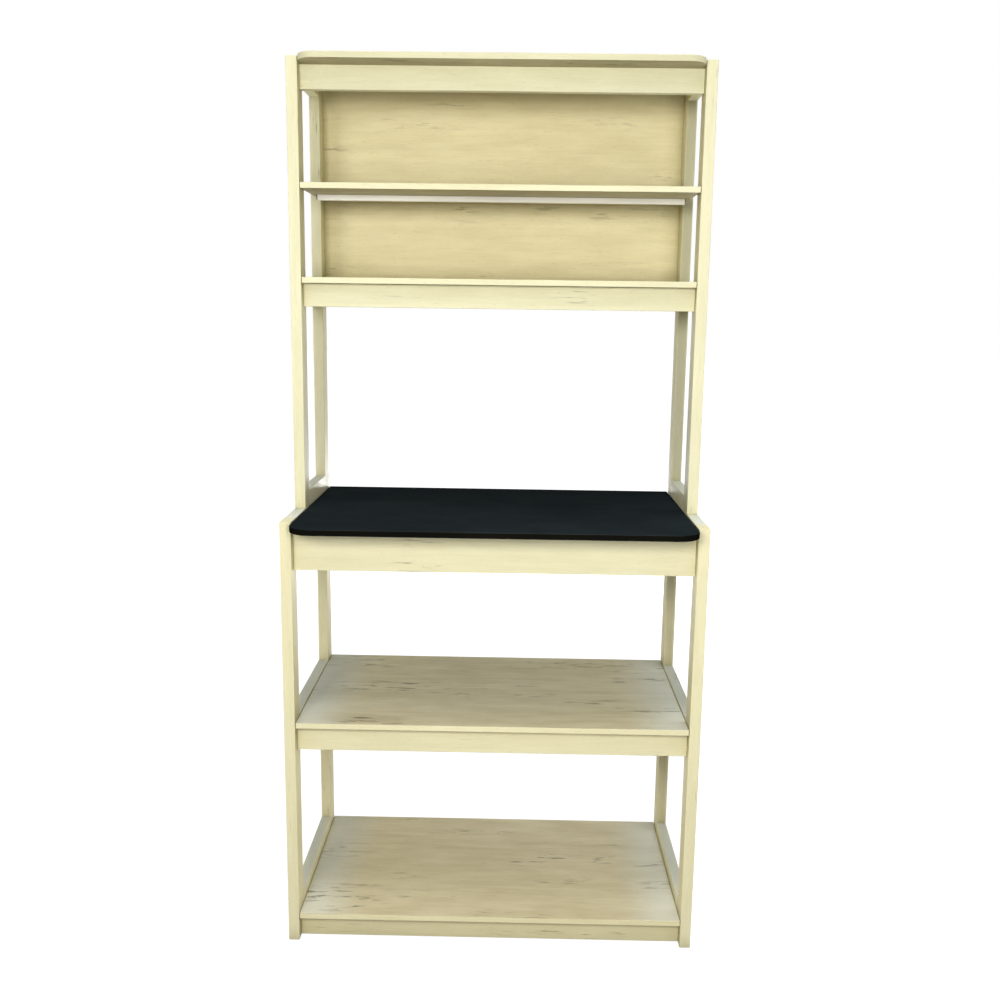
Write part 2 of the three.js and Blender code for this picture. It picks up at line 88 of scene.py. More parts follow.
def add_camera():
    lens = bpy.data.cameras.new("camera")
    lens.sensor_width = SENSOR_WIDTH
    lens.lens = SENSOR_WIDTH * FOCAL_PIXELS / IMAGE_WIDTH
    camera = bpy.data.objects.new("camera", lens)
    bpy.context.scene.collection.objects.link(camera)
    camera.matrix_world = (
        Matrix.Translation(CAMERA_PLACE)
        @ Matrix.Rotation(CAMERA_YAW, 4, "Z")
        @ Matrix.Rotation(CAMERA_PITCH, 4, "X")
        @ Matrix.Rotation(CAMERA_ROLL, 4, "Y")
        @ Matrix.Rotation(QUARTER_TURN, 4, "X")
    )
    bpy.context.scene.camera = camera


# Node trees

MIX_SHARE = 0  # the sockets that a Mix node of colours uses
MIX_FIRST = 6
MIX_SECOND = 7
MIX_RESULT = 2


class Tree:
    """Adds nodes to a node tree and wires them up as it goes."""

    def __init__(self, owner):
        owner.use_nodes = True
        self.tree = owner.node_tree

    def feed(self, socket, value):
        if isinstance(value, bpy.types.NodeSocket):
            self.tree.links.new(value, socket)
        else:
            socket.default_value = value

    def node(self, kind, inputs=(), **settings):
        node = self.tree.nodes.new(kind)
        for name, value in settings.items():
            setattr(node, name, value)
        for name, value in dict(inputs).items():
            self.feed(node.inputs[name], value)
        return node

    def maths(self, operation, first, second=0.0):
        return self.node("ShaderNodeMath", {0: first, 1: second}, operation=operation).outputs[0]

    def vector_maths(self, operation, first, second=(0, 0, 0)):
        return self.node("ShaderNodeVectorMath", {0: first, 1: second}, operation=operation)

    def between(self, value, low, high, to_low=0.0, to_high=1.0):
        """Maps low..high of a value smoothly to to_low..to_high."""
        inputs = {"Value": value, "From Min": low, "From Max": high}
        inputs.update({"To Min": to_low, "To Max": to_high})
        node = self.node("ShaderNodeMapRange", inputs, interpolation_type="SMOOTHSTEP")
        return node.outputs["Result"]

    def mixed(self, share, first, second, blend="MIX"):
        inputs = {MIX_SHARE: share, MIX_FIRST: first, MIX_SECOND: second}
        node = self.node("ShaderNodeMix", data_type="RGBA", blend_type=blend)
        for socket, value in inputs.items():
            self.feed(node.inputs[socket], value)
        return node.outputs[MIX_RESULT]

    def white_rays(self):
        """1 for the rays that show the background: camera, glossy and transmission rays."""
        path = self.node("ShaderNodeLightPath").outputs
        seen = self.maths("MAXIMUM", path["Is Camera Ray"], path["Is Glossy Ray"])
        return self.maths("MAXIMUM", seen, path["Is Transmission Ray"])


NOISE_LOW = 0.3  # most values of a noise lie between these two
NOISE_HIGH = 0.7
UPRIGHT_RISE = 0.5  # up to this Z of its normal, up or down, a face counts as upright
LEVEL_RISE = 0.8  # and from this one on as level


class Finish(Tree):
    """A material whose node tree ends in one Principled shader."""

    def __init__(self, name, **constants):
        self.material = bpy.data.materials.new(name)
        super().__init__(self.material)
        self.shader = self.tree.nodes["Principled BSDF"]
        self.set(**constants)
        self.place = self.node("ShaderNodeTexCoord").outputs["Object"]

    def set(self, **sockets):
        for socket, value in sockets.items():
            self.feed(self.shader.inputs[socket.replace("_", " ")], value)

    def scaled(self, cycles, place=None):
        return self.vector_maths("MULTIPLY", place or self.place, cycles).outputs[0]

    def noise(self, place, detail=2.0, roughness=0.5):
        inputs = {"Vector": place, "Scale": 1.0, "Detail": detail, "Roughness": roughness}
        return self.node("ShaderNodeTexNoise", inputs).outputs["Fac"]

    def evened(self, noise, to_low=0.0, to_high=1.0):
        """Spreads the values that a noise mostly has over to_low..to_high."""
        return self.between(noise, NOISE_LOW, NOISE_HIGH, to_low, to_high)

    def level_shares(self):
        """1 on level faces and 0 on upright ones, and 1 on undersides alone."""
        normal = self.node("ShaderNodeNewGeometry").outputs["Normal"]
        rise = self.node("ShaderNodeSeparateXYZ", {0: normal}).outputs["Z"]
        level = self.between(self.maths("ABSOLUTE", rise), UPRIGHT_RISE, LEVEL_RISE)
        under = self.between(rise, -LEVEL_RISE, -UPRIGHT_RISE, 1, 0)
        return level, under

    def bump(self, height, distance, strength):
        inputs = {"Height": height, "Distance": distance, "Strength": strength}
        self.set(Normal=self.node("ShaderNodeBump", inputs).outputs["Normal"])

    def edge_distance(self, low, high):
        """How far a point on a box's surface lies from the nearest edge of that box."""
        apart = self.node("ShaderNodeSeparateXYZ", {0: self.place}).outputs
        faces = []
        for axis in (X, Y, Z):
            from_low = self.maths("SUBTRACT", apart[axis], low[axis])
            to_high = self.maths("SUBTRACT", high[axis], apart[axis])
            faces.append(self.maths("MINIMUM", from_low, to_high))
        nearest = self.maths("MINIMUM", faces[0], faces[1])
        farther = self.maths("MAXIMUM", faces[0], faces[1])
        return self.maths("MAXIMUM", nearest, self.maths("MINIMUM", farther, faces[2]))


# Stage: a white floor that keeps the shadow, a white surround and soft light from all round

SKY_LIGHT = 0.46
SKY_COLOUR = (0.95, 0.98, 1.02, 1)


class Lamp(NamedTuple):
    place: tuple  # metres
    target: tuple
    width: float
    height: float
    power: float  # watts
    colour: tuple = (1, 1, 1)


COOL = (0.84, 0.9, 1)
LAMPS = {  # the first four stand in front, at about the camera's distance
    "right_low": Lamp((0.41, -2.2, 1.15), (0, 0, 1), 0.12, 0.5, 13),
    "right_high": Lamp((0.41, -2.2, 1.65), (0, 0, 1), 0.12, 0.5, 8.5),
    "left_high": Lamp((-0.41, -2.2, 1.65), (0, 0, 1), 0.2, 0.5, 12.5),
    "left": Lamp((-0.75, -2.2, 1.6), (0, 0, 1), 0.35, 0.5, 11),
    "high": Lamp((-0.1, -1.35, 4.4), (0, 0, 0.5), 1.6, 1.6, 34),
    "left_end": Lamp((-1.15, 0, 3.8), (-0.4, 0, 0.5), 0.8, 0.8, 7, COOL),
    "right_end": Lamp((1.15, 0, 3.8), (0.4, 0, 0.5), 0.8, 0.8, 24, COOL),
    "left_side": Lamp((-2.8, 0.5, 0.3), (0, 0.03, 0.9), 1.2, 0.5, 20),
    "right_side": Lamp((2.8, 0.5, 0.3), (0, 0.03, 0.9), 1.2, 0.5, 19),
    "back": Lamp((0.5, 3.2, 0.3), (0, 0.2, 0.9), 1.2, 0.5, 32),
}
FLOOR_SIZE = 60
FLOOR_TONE = (0.35, 0.35, 0.35, 1)
WHITE = (1, 1, 1, 1)
NEAR_FLOOR_GLOW = 0.88
FAR_FLOOR_GLOW = 1.0
NEAR_FLOOR_REACH = 1.2
FAR_FLOOR_REACH = 3.5


def add_world():
    """Soft light that fades from above to the horizon, and a white background."""
    world = bpy.data.worlds.new("surround")
    tree = Tree(world)
    aim = tree.node("ShaderNodeTexCoord").outputs["Generated"]
    height = tree.node("ShaderNodeSeparateXYZ", {0: aim}).outputs["Z"]
    light = tree.between(height, 0, 1, 0, SKY_LIGHT)
    white = tree.white_rays()
    background = world.node_tree.nodes["Background"]
    tree.feed(background.inputs["Strength"], tree.maths("MAXIMUM", light, white))
    tree.feed(background.inputs["Color"], tree.mixed(white, SKY_COLOUR, WHITE))
    bpy.context.scene.world = world


def add_floor():
    mesh = bpy.data.meshes.new("floor")
    half = FLOOR_SIZE / 2
    corners = [(-half, -half, 0), (half, -half, 0), (half, half, 0), (-half, half, 0)]
    mesh.from_pydata(corners, [], [(0, 1, 2, 3)])
    floor = bpy.data.objects.new("floor", mesh)
    bpy.context.scene.collection.objects.link(floor)
    finish = Finish("floor_white", Base_Color=FLOOR_TONE, Roughness=1.0, Specular_IOR_Level=0.0)
    reach = finish.vector_maths("LENGTH", finish.place).outputs["Value"]
    level = finish.between(
        reach, NEAR_FLOOR_REACH, FAR_FLOOR_REACH, NEAR_FLOOR_GLOW, FAR_FLOOR_GLOW
    )
    glow = finish.maths("MULTIPLY", finish.white_rays(), level)
    finish.set(Emission_Color=WHITE, Emission_Strength=glow)
    mesh.materials.append(finish.material)


def add_lamps():
    for name, settings in LAMPS.items():
        light = bpy.data.lights.new(f"{name}_lamp", "AREA")
        light.shape = "RECTANGLE"
        light.size = settings.width
        light.size_y = settings.height
        light.energy = settings.power
        light.color = settings.colour
        lamp = bpy.data.objects.new(f"{name}_lamp", light)
        bpy.context.scene.collection.objects.link(lamp)
        lamp.visible_camera = False
        lamp.location = settings.place
        aim = Vector(settings.target) - Vector(settings.place)
        lamp.rotation_euler = aim.to_track_quat("-Z", "Y").to_euler()


# Colours

def srgb(red, green, blue):
    """A colour given as 8-bit screen values, as linear light."""

    def linear(value):
        share = value / 255
        return share / 12.92 if share <= 0.04045 else ((share + 0.055) / 1.055) ** 2.4

    return (linear(red), linear(green), linear(blue), 1)


def blended(share, first, second):
    return tuple(a + (b - a) * share for a, b in zip(first, second))


def shaded(colour, level):
    return tuple(channel * level for channel in colour[:3]) + (1,)


# Wood: a pale limed finish with soft clouds, faint lines along the grain, dark flecks and knots

class Wood(NamedTuple):
    # The change from low_tone to high_tone is partly painted light: paler towards the better-lit
    # top, darker and warmer near the floor.
    high_tone: tuple  # its colour at the top of the rack
    low_tone: tuple  # its colour at the floor
    contrast: float  # how strong its clouds and lines are
    breadth: float  # how much broader its pattern is than on a narrow rail
    flecks: float  # how dark its flecks are
    fleck_level: float  # the noise above which a fleck shows
    knots: float  # the share of places for a knot that hold one
    # painted shade: how dark its inner corners are painted, from ambient occlusion
    grime: float  # how dark its inner corners are
    # painted light: how strongly cool side light is painted on its tops at the sides of the rack
    bleach: float = 0  # how pale and cool its tops are at the sides of the rack
    edge_tone: tuple = ()  # its upright edges' colour at the top of the rack, if they differ


class Layer(NamedTuple):
    along: float  # cycles a metre along the grain
    across: float  # cycles a metre across it
    detail: float = 2.0
    roughness: float = 0.5


FRAME_WOOD = Wood(
    high_tone=srgb(242, 238, 201),
    low_tone=srgb(239, 230, 187),
    contrast=0.85,
    breadth=1,
    flecks=0.5,
    fleck_level=0.56,
    knots=0,
    grime=0.45,
    bleach=0.6,
)
POST_WOOD = FRAME_WOOD._replace(grime=0.9, bleach=0)
SHELF_BOARD = Wood(
    high_tone=srgb(236, 231, 196),
    low_tone=srgb(224, 213, 176),
    contrast=1.7,
    breadth=2,
    flecks=0.7,
    fleck_level=0.545,
    knots=0.35,
    grime=0.4,
    bleach=0.55,
    edge_tone=FRAME_WOOD.high_tone,
)
TOP_BOARD = SHELF_BOARD._replace(bleach=0, edge_tone=srgb(228, 223, 186))
BACK_BOARD = Wood(
    high_tone=srgb(242, 232, 189),
    low_tone=srgb(242, 232, 189),
    contrast=1.25,
    breadth=1.5,
    flecks=0.5,
    fleck_level=0.55,
    knots=0.2,
    grime=1,
)
WOODS = {"frame_wood": FRAME_WOOD, "shelf_board": SHELF_BOARD, "back_board": BACK_BOARD}
SWAY = Layer(2.2, 9)
CLOUD = Layer(1.7, 13, 3.0)
BLOTCH = Layer(11, 62, 3.0, 0.6)
RING = Layer(0.8, 8, 1.0)
STREAK = Layer(5, 120, 3.0, 0.6)
FIBRE = Layer(20, 620)
PORE = Layer(70, 1100)
FLECK = Layer(15, 190, 3.0, 0.6)
FLECK_CLUSTER = Layer(3.2, 24)
KNOT = Layer(1.9, 7.5)
CLOUD_SHARE = 0.28
BLOTCH_SHARE = 0.26
STREAK_SHARE = 0.22
RING_SHARE = 0.1
FIBRE_SHARE = 0.14
SEED_STEP = (3.17, 1.93, 2.41)
SWAY_CENTRE = (0.5, 0.5, 0.5)
SWAY_REACH = 0.016
RING_TURNS = 60
TONE_SPREAD = 0.015
LIGHT_PART = 1.05  # the light and dark parts of the pattern, as shares of the wood's tone
DARK_PART = (0.88, 0.86, 0.8)
# painted shade: the colour that board undersides are multiplied by
UNDERSIDE_SHADE_TONE = (0.6, 0.57, 0.5, 1)

FLECK_SOFTNESS = 0.12
FLECK_TONE = srgb(104, 94, 70)
CLUSTER_SLACK = 0.02
CLUSTER_FULL = 0.68
PORE_START = 0.6
PORE_FULL = 0.75
PORE_SHARE = 0.16
KNOT_SIZE = 0.07  # in cells of its pattern, like the halo
KNOT_HALO = 0.24
KNOT_SHARE = 0.8
KNOT_TONE = srgb(84, 70, 50)
HALO_SHARE = 0.3

WEAR_REACH = 1.8 * MM
WEAR_SHARE = 0.55
WEAR_TONE = srgb(176, 160, 120)
# Painted shade in inner corners, found by ambient occlusion
CORNER_REACH = 45 * MM
CORNER_SAMPLES = 4
CORNER_CLOSED = 0.35  # the open share of the surround at which a corner is dark in full
CORNER_OPEN = 0.95
CORNER_SHADE_TONE = (0.55, 0.54, 0.46, 1)
# Painted light on the tops near the sides of the rack: cool at the back, paler towards the front
# corners
PAINTED_LIGHT_TONE_BACK = srgb(192, 199, 194)
PAINTED_LIGHT_TONE_FRONT = srgb(240, 244, 238)
PAINTED_LIGHT_START = 0.62 * RACK_HALF_WIDTH
PAINTED_LIGHT_END = 0.92 * RACK_HALF_WIDTH
PAINTED_LIGHT_DEPTH = 0.2

LIGHT_DEPTH = 0.2  # the pattern's depth where the finish is smoothest
DARK_DEPTH = 0.8
WOOD_ROUGHNESS = (0.46, 0.58)
FLECK_HOLLOW = 1.5
PORE_HOLLOW = 0.6
WOOD_RELIEF = 0.06 * MM
WOOD_BUMP = 0.5


def stretched(axis, layer, breadth=1.0):
    across = layer.across / breadth
    return tuple(layer.along if i == axis else across for i in range(3))


def light_and_dark(wood, height_share, spread):
    """The two colours that a wood's pattern runs between, at a height on the rack."""
    tone = shaded(blended(height_share, wood.low_tone, wood.high_tone), spread)
    light = shaded(tone, 1 + (LIGHT_PART - 1) * wood.contrast)
    dark = tuple(c * (1 - (1 - part) * wood.contrast) for c, part in zip(tone, DARK_PART)) + (1,)
    return light, dark


def limed_wood(name, wood, axis, seed, low, high):
    """The finish of one piece of wood, whose grain runs along an axis of its box."""
    finish = Finish(name, IOR=1.45, Specular_IOR_Level=0.15)
    shift = tuple(seed * step for step in SEED_STEP)
    start = finish.vector_maths("ADD", finish.place, shift).outputs[0]
    sway = finish.node(
        "ShaderNodeTexNoise", {"Vector": finish.scaled(stretched(axis, SWAY), start), "Scale": 1.0}
    )
    bend = finish.vector_maths("SUBTRACT", sway.outputs["Color"], SWAY_CENTRE).outputs[0]
    push = finish.scaled((SWAY_REACH,) * 3, bend)
    place = finish.vector_maths("ADD", start, push).outputs[0]

    def pattern(layer):
        cycles = finish.scaled(stretched(axis, layer, wood.breadth), place)
        return finish.noise(cycles, layer.detail, layer.roughness)

    streak = finish.evened(pattern(STREAK))
    fibre = finish.evened(pattern(FIBRE))
    ring = finish.maths("SINE", finish.maths("MULTIPLY", pattern(RING), RING_TURNS))
    depth = finish.maths("MULTIPLY", finish.between(ring, -1, 1), RING_SHARE)
    for part, share in (
        (finish.evened(pattern(CLOUD)), CLOUD_SHARE),
        (finish.evened(pattern(BLOTCH)), BLOTCH_SHARE),
        (streak, STREAK_SHARE),
        (fibre, FIBRE_SHARE),
    ):
        depth = finish.maths("ADD", depth, finish.maths("MULTIPLY", part, share))

    spread = 1 + random.Random(seed).uniform(-TONE_SPREAD, TONE_SPREAD)
    # colour by height on the rack, partly painted light: paler towards the top
    height_share = (low.z + high.z) / 2 / RACK_HEIGHT
    colour = finish.mixed(depth, *light_and_dark(wood, height_share, spread))
    cluster_start = wood.fleck_level - CLUSTER_SLACK
    cluster = finish.between(pattern(FLECK_CLUSTER), cluster_start, CLUSTER_FULL)
    spot = finish.between(pattern(FLECK), wood.fleck_level, wood.fleck_level + FLECK_SOFTNESS)
    fleck = finish.maths("MULTIPLY", finish.maths("MULTIPLY", spot, cluster), wood.flecks)
    if wood.edge_tone:
        level, under = finish.level_shares()
        edging = FRAME_WOOD._replace(high_tone=wood.edge_tone)
        band = finish.mixed(depth, *light_and_dark(edging, height_share, spread))
        colour = finish.mixed(level, band, colour)
        # painted shade on the undersides of the boards
        colour = finish.mixed(under, colour, UNDERSIDE_SHADE_TONE, "MULTIPLY")
        fleck = finish.maths("MULTIPLY", fleck, level)
    if wood.bleach:
        # painted side light on its tops
        colour = with_bleached_tops(finish, colour, wood.bleach)
    colour = finish.mixed(fleck, colour, FLECK_TONE)
    pore = finish.between(pattern(PORE), PORE_START, PORE_FULL)
    colour = finish.mixed(finish.maths("MULTIPLY", pore, PORE_SHARE), colour, FLECK_TONE)
    if wood.knots:
        cells = finish.scaled(stretched(axis, KNOT), place)
        colour = with_knots(finish, colour, cells, wood.knots)

    ragged = finish.maths("MULTIPLY", streak, WEAR_REACH)
    from_edge = finish.maths("ADD", finish.edge_distance(low, high), ragged)
    wear = finish.between(from_edge, 0, WEAR_REACH, WEAR_SHARE, 0)
    # painted shade in inner corners, over the wear along the edges
    colour = with_painted_corner_shade(finish, finish.mixed(wear, colour, WEAR_TONE), wood.grime)
    roughness = finish.between(depth, LIGHT_DEPTH, DARK_DEPTH, *WOOD_ROUGHNESS)
    finish.set(Base_Color=colour, Roughness=roughness)
    fleck_hollow = finish.maths("MULTIPLY", fleck, FLECK_HOLLOW)
    pore_hollow = finish.maths("MULTIPLY", pore, PORE_HOLLOW)
    hollow = finish.maths("ADD", fleck_hollow, pore_hollow)
    finish.bump(finish.maths("SUBTRACT", fibre, hollow), WOOD_RELIEF, WOOD_BUMP)
    return finish.material


def with_bleached_tops(finish, colour, bleach):
    """Painted light on the tops: cool side light towards the sides of the rack, paler light
    towards its front corners.
    """
    level, under = finish.level_shares()
    top = finish.maths("SUBTRACT", level, under)
    apart = finish.node("ShaderNodeSeparateXYZ", {0: finish.place}).outputs
    aside = finish.maths("ABSOLUTE", apart["X"])
    share = finish.between(aside, PAINTED_LIGHT_START, PAINTED_LIGHT_END, 0, bleach)
    front = finish.between(apart["Y"], -PAINTED_LIGHT_DEPTH, 0, 1, 0)
    tone = finish.mixed(front, PAINTED_LIGHT_TONE_BACK, PAINTED_LIGHT_TONE_FRONT)
    return finish.mixed(finish.maths("MULTIPLY", share, top), colour, tone)


def with_knots(finish, colour, cells, share):
    """Small dark knots with a warm halo, each in its own cell, in a share of the cells."""
    cell = finish.node("ShaderNodeTexVoronoi", {"Vector": cells, "Scale": 1.0}).outputs
    chance = finish.node("ShaderNodeSeparateColor", {0: cell["Color"]}).outputs[0]
    held = finish.maths("LESS_THAN", chance, share)
    halo = finish.between(cell["Distance"], KNOT_SIZE, KNOT_HALO, HALO_SHARE, 0)
    colour = finish.mixed(finish.maths("MULTIPLY", halo, held), colour, WEAR_TONE)
    heart = finish.between(cell["Distance"], KNOT_SIZE / 2, KNOT_SIZE, KNOT_SHARE, 0)
    return finish.mixed(finish.maths("MULTIPLY", heart, held), colour, KNOT_TONE)


def with_painted_corner_shade(finish, colour, grime):
    """Painted shade: ambient occlusion darkens the colour in inner corners and close under other
    parts.
    """
    inputs = {"Distance": CORNER_REACH}
    corner_occlusion = finish.node("ShaderNodeAmbientOcclusion", inputs, samples=CORNER_SAMPLES)
    corner_shade_share = finish.between(corner_occlusion.outputs["AO"], CORNER_CLOSED, CORNER_OPEN, grime, 0)
    return finish.mixed(corner_shade_share, colour, CORNER_SHADE_TONE, "MULTIPLY")


# Other materials. Their patterns are given in cycles a metre along X, Y and Z.

FINE_DETAIL = 3.0
FINEST_DETAIL = 4.0
COARSE_NOISE = 0.6

# The laminate is black; the blue-grey in these tones is painted reflection of the surround, since
# the shader reflects nothing.
LAMINATE_TONES = (srgb(31, 37, 39), srgb(38, 44, 46))
LAMINATE_GRAIN_TONE = srgb(24, 29, 31)
LAMINATE_EDGE_TONES = (srgb(15, 15, 12), srgb(21, 20, 15))
LAMINATE_WEAR_TONE = srgb(96, 98, 96)
LAMINATE_SMUDGES = (5, 7, 5)
LAMINATE_GRAIN = (70, 900, 900)
LAMINATE_PEBBLES = (1400, 1400, 1400)
LAMINATE_GRAIN_START = 0.4
LAMINATE_GRAIN_SHARE = 0.3
LAMINATE_WEAR_REACH = 1.5 * MM
LAMINATE_WEAR_SHARE = 0.35
LAMINATE_ROUGHNESS = (0.5, 0.62)
LAMINATE_RELIEF = 0.05 * MM
LAMINATE_BUMP = 0.6

BAR_TONES = (srgb(234, 230, 216), srgb(222, 217, 202))
BAR_HAZE = (4, 30, 30)
BAR_SPECKS = (900, 900, 900)
BAR_ROUGHNESS = (0.3, 0.42)
BAR_RELIEF = 0.03 * MM
BAR_BUMP = 0.4

PLASTIC_TONES = (srgb(38, 36, 34), srgb(52, 50, 47))
PLASTIC_GRAIN = (700, 700, 700)
PLASTIC_ROUGHNESS = (0.45, 0.62)
PLASTIC_RELIEF = 0.05 * MM
PLASTIC_BUMP = 0.5

ZINC_TONES = (srgb(176, 178, 178), srgb(204, 205, 202))
ZINC_SPANGLES = (420, 420, 420)
ZINC_ROUGHNESS = (0.26, 0.42)
ZINC_RELIEF = 0.02 * MM
ZINC_BUMP = 0.4


def black_laminate(low, high):
    """A black sheet with faint smudges, darker upright edges and a little wear along its rim."""
    finish = Finish("black_laminate", IOR=1.45, Specular_IOR_Level=0.0)
    smudge = finish.noise(finish.scaled(LAMINATE_SMUDGES), FINEST_DETAIL, COARSE_NOISE)
    grain = finish.noise(finish.scaled(LAMINATE_GRAIN))
    pebble = finish.noise(finish.scaled(LAMINATE_PEBBLES))
    dark_grain = finish.between(grain, LAMINATE_GRAIN_START, NOISE_HIGH, 0, LAMINATE_GRAIN_SHARE)
    colour = finish.mixed(finish.evened(smudge), *LAMINATE_TONES)
    colour = finish.mixed(dark_grain, colour, LAMINATE_GRAIN_TONE)
    edge = finish.mixed(finish.evened(smudge), *LAMINATE_EDGE_TONES)
    level, _ = finish.level_shares()
    colour = finish.mixed(level, edge, colour)
    from_edge = finish.edge_distance(low, high)
    wear = finish.between(from_edge, 0, LAMINATE_WEAR_REACH, LAMINATE_WEAR_SHARE, 0)
    colour = finish.mixed(finish.maths("MULTIPLY", wear, smudge), colour, LAMINATE_WEAR_TONE)
    finish.set(Base_Color=colour, Roughness=finish.evened(smudge, *LAMINATE_ROUGHNESS))
    finish.bump(finish.maths("ADD", pebble, grain), LAMINATE_RELIEF, LAMINATE_BUMP)
    return finish.material


def bar_paint():
    finish = Finish("bar_paint", IOR=1.5, Specular_IOR_Level=0.4)
    speck = finish.noise(finish.scaled(BAR_SPECKS), FINE_DETAIL)
    haze = finish.evened(finish.noise(finish.scaled(BAR_HAZE), FINE_DETAIL))
    colour = finish.mixed(haze, *BAR_TONES)
    finish.set(Base_Color=colour, Roughness=finish.between(haze, 0, 1, *BAR_ROUGHNESS))
    finish.bump(speck, BAR_RELIEF, BAR_BUMP)
    return finish.material


def black_plastic():
    finish = Finish("black_plastic", IOR=1.48, Specular_IOR_Level=0.4)
    grain = finish.noise(finish.scaled(PLASTIC_GRAIN), FINE_DETAIL)
    colour = finish.mixed(grain, *PLASTIC_TONES)
    finish.set(Base_Color=colour, Roughness=finish.evened(grain, *PLASTIC_ROUGHNESS))
    finish.bump(grain, PLASTIC_RELIEF, PLASTIC_BUMP)
    return finish.material


def zinc():
    finish = Finish("zinc", Metallic=1.0)
    spangle = finish.noise(finish.scaled(ZINC_SPANGLES), FINEST_DETAIL, COARSE_NOISE)
    colour = finish.mixed(spangle, *ZINC_TONES)
    finish.set(Base_Color=colour, Roughness=finish.evened(spangle, *ZINC_ROUGHNESS))
    finish.bump(spangle, ZINC_RELIEF, ZINC_BUMP)
    return finish.material


# Mesh forms

EDGE_STEPS = 3
CORNER_STEPS = 20
ROUND_STEPS = 40
ROUND_PROFILE = 0.5
SHARP_EDGE = math.radians(30)
CREASE = math.radians(40)


def round_some(work, edges, radius):
    bmesh.ops.bevel(
        work,
        geom=edges,
        offset=radius,
        segments=EDGE_STEPS,
        profile=ROUND_PROFILE,
        affect="EDGES",
    )
    return work


def round_edges(work, radius):
    sharp = [edge for edge in work.edges if edge.calc_face_angle(0) > SHARP_EDGE]
    return round_some(work, sharp, radius)


def block(low, high):
    work = bmesh.new()
    bmesh.ops.create_cube(work, size=1)
    size = high - low
    for vertex in work.verts:
        vertex.co = (low + high) / 2 + Vector(c * s for c, s in zip(vertex.co, size))
    return work


def front_rounded(low, high, radius):
    """A board between two corners whose two front corners are round."""
    outline = [(high.x, high.y), (low.x, high.y)]
    for centre_x, start in ((low.x + radius, math.pi), (high.x - radius, 1.5 * math.pi)):
        for step in range(CORNER_STEPS + 1):
            angle = start + QUARTER_TURN * step / CORNER_STEPS
            reach = Vector((math.cos(angle), math.sin(angle))) * radius
            outline.append((centre_x + reach.x, low.y + radius + reach.y))
    work = bmesh.new()
    under = work.faces.new([work.verts.new((x, y, low.z)) for x, y in outline])
    raised = bmesh.ops.extrude_face_region(work, geom=[under])["geom"]
    for item in raised:
        if isinstance(item, bmesh.types.BMVert):
            item.co.z = high.z
    return work


def turned(profile, place, direction):
    """A turned form from points of radius and height, with its +Z turned to a direction."""
    work = bmesh.new()
    angles = [2 * math.pi * step / ROUND_STEPS for step in range(ROUND_STEPS)]
    circle = [(math.cos(angle), math.sin(angle)) for angle in angles]
    rings = []
    for radius, height in profile:
        rings.append([work.verts.new((radius * x, radius * y, height)) for x, y in circle])
    for first, second in zip(rings, rings[1:]):
        for step in range(ROUND_STEPS):
            after = (step + 1) % ROUND_STEPS
            work.faces.new((first[step], first[after], second[after], second[step]))
    work.faces.new(rings[0])
    work.faces.new(rings[-1])
    turn = UP.rotation_difference(direction).to_matrix().to_4x4()
    work.transform(Matrix.Translation(place) @ turn)
    return work


def make_object(name, work):
    mesh = bpy.data.meshes.new(name)
    bmesh.ops.recalc_face_normals(work, faces=work.faces)
    work.to_mesh(mesh)
    work.free()
    piece = bpy.data.objects.new(name, mesh)
    bpy.context.scene.collection.objects.link(piece)
    return piece


def carve(piece, forms):
    """Cuts closed forms out of a piece."""
    tools = [make_object(f"{piece.name}_tool", form) for form in forms]
    for tool in tools:
        cut = piece.modifiers.new("cut", "BOOLEAN")
        cut.operation = "DIFFERENCE"
        cut.solver = "EXACT"
        cut.object = tool
    cut_piece = piece.evaluated_get(bpy.context.evaluated_depsgraph_get())
    mesh = bpy.data.meshes.new_from_object(cut_piece)
    piece.modifiers.clear()
    piece.data = mesh
    for tool in tools:
        bpy.data.objects.remove(tool)


def finished(name, work, material, nodes, cuts=()):
    """Makes a piece that stands for CAD nodes, takes a material and loses the cuts."""
    piece = make_object(name, work)
    if cuts:
        carve(piece, cuts)
    piece.data.shade_smooth()
    piece.data.set_sharp_from_angle(angle=CREASE)
    piece.data.materials.clear()
    piece.data.materials.append(material)
    smooth = piece.modifiers.new("even_normals", "WEIGHTED_NORMAL")
    smooth.keep_sharp = True
    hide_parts(*nodes)
    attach(piece, "root")


# Screws, glides and plugs

CUT_OVERRUN = 1 * MM
FIT = 0.3 * MM
SCREW_SHANK = 1.7 * MM
PANEL_SCREW_HEAD = 1 * MM
BAR_SCREW_HEAD = 2 * MM
POST_SCREW_SHANK = 2 * MM
POST_SCREW_HEAD = 3 * MM
CROSS_REACH_SHARE = 0.62
CROSS_WIDTH_SHARE = 0.2
CROSS_DEPTH_SHARE = 0.7
SUNK_FACE_SHARE = 0.97
SUNK_RIM = 0.1 * MM
DOME_HEIGHT_SHARE = 0.35
DOME_TOP_SHARE = 0.6
DOME_SHOULDER_SHARE = 0.88
DOME_SHOULDER_DROP = 0.4
TIP_LENGTH_SHARE = 1.5
TIP_RADIUS_SHARE = 0.1
GLIDE_THICKNESS = 3 * MM
GLIDE_ROUND = 0.8 * MM
GLIDE_BREAK = 0.3 * GLIDE_ROUND
PLUG_FLANGE = 1.5 * MM
PLUG_ROUND = 0.4 * MM
ACCESS_HOLE = 4 * MM
COUNTERBORE = 5.6 * MM
COUNTERBORE_DEPTH = 30 * MM


def outward_end(node, outward):
    """The middle of the end of a node's box that an outward direction points at."""
    low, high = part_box(node)
    centre = (low + high) / 2
    half = (high - low) / 2
    return centre + Vector(o * h for o, h in zip(outward, half))


def extent(node, direction):
    low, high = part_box(node)
    return abs((high - low).dot(direction))


